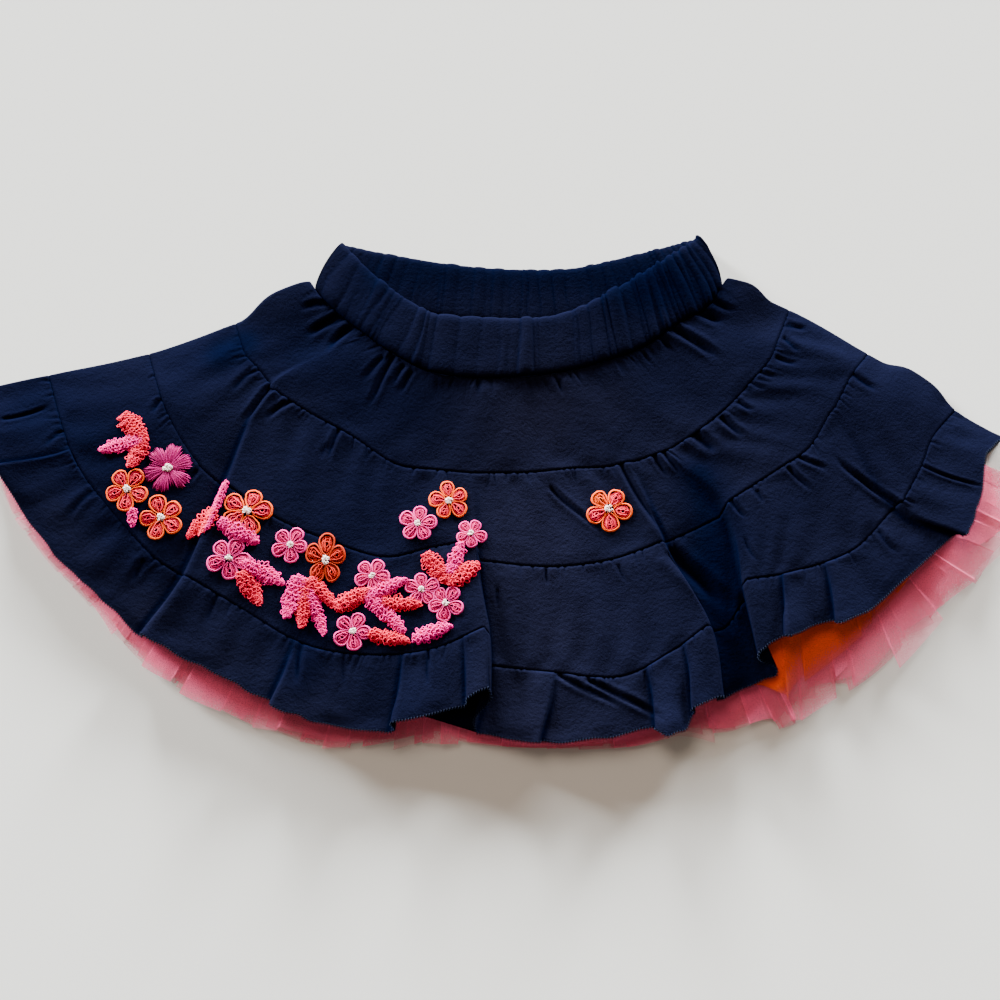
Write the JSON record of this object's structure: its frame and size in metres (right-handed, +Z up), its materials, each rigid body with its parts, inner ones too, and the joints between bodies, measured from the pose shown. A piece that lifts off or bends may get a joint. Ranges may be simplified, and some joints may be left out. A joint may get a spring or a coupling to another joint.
{
  "type": "tutu skirt",
  "caption": "Child's tiered tutu skirt laid flat and fanned out, with a gathered elastic waistband, a hem ruffle over net and embroidered flowers.",
  "frame": {"origin": "on the surface the skirt lies on, under the middle of its outline", "axes": "+Y from the hem towards the waist, +X to the right as seen from above with the waist away, +Z up from the surface"},
  "size_m": [0.6187, 0.3185, 0.0174],
  "materials": {
    "waistband": "matt gathered crepe over elastic",
    "crepe": "matt crinkled crepe",
    "pink_net": "soft sheer net, bunched",
    "orange_net": "soft sheer net, bunched",
    "flower_magenta": "satin stitch embroidery",
    "flower_orange": "looped embroidery",
    "flower_pink": "looped embroidery",
    "leaf_coral": "looped embroidery",
    "leaf_pink": "looped embroidery"
  },
  "bodies": {
    "root": {"waistband_front": "waistband", "waistband_back": "waistband", "tier_1_front": "crepe", "tier_2_front": "crepe", "tier_3_front": "crepe", "tier_1_back": "crepe", "tier_2_back": "crepe", "tier_3_back": "crepe", "hem_ruffle_front": "crepe", "hem_ruffle_back": "crepe", "net_pink_front": "pink_net", "net_pink_back": "pink_net", "net_orange_front": "orange_net", "net_orange_back": "orange_net", "flower_1": "flower_magenta", "flower_2": "flower_orange", "flower_3": "flower_orange", "flower_4": "flower_orange", "flower_7": "flower_orange", "flower_13": "flower_orange", "flower_15": "flower_orange", "flower_5": "flower_pink", "flower_6": "flower_pink", "flower_8": "flower_pink", "flower_9": "flower_pink", "flower_10": "flower_pink", "flower_11": "flower_pink", "flower_12": "flower_pink", "flower_14": "flower_pink", "leaf_1": "leaf_coral", "leaf_2": "leaf_coral", "leaf_5": "leaf_coral", "leaf_9": "leaf_coral", "leaf_11": "leaf_coral", "leaf_13": "leaf_coral", "leaf_14": "leaf_coral", "leaf_16": "leaf_coral", "leaf_18": "leaf_coral", "leaf_20": "leaf_coral", "leaf_21": "leaf_coral", "leaf_3": "leaf_pink", "leaf_4": "leaf_pink", "leaf_6": "leaf_pink", "leaf_7": "leaf_pink", "leaf_8": "leaf_pink", "leaf_10": "leaf_pink", "leaf_12": "leaf_pink", "leaf_15": "leaf_pink", "leaf_17": "leaf_pink", "leaf_19": "leaf_pink", "leaf_22": "leaf_pink"}
  },
  "joints": []
}
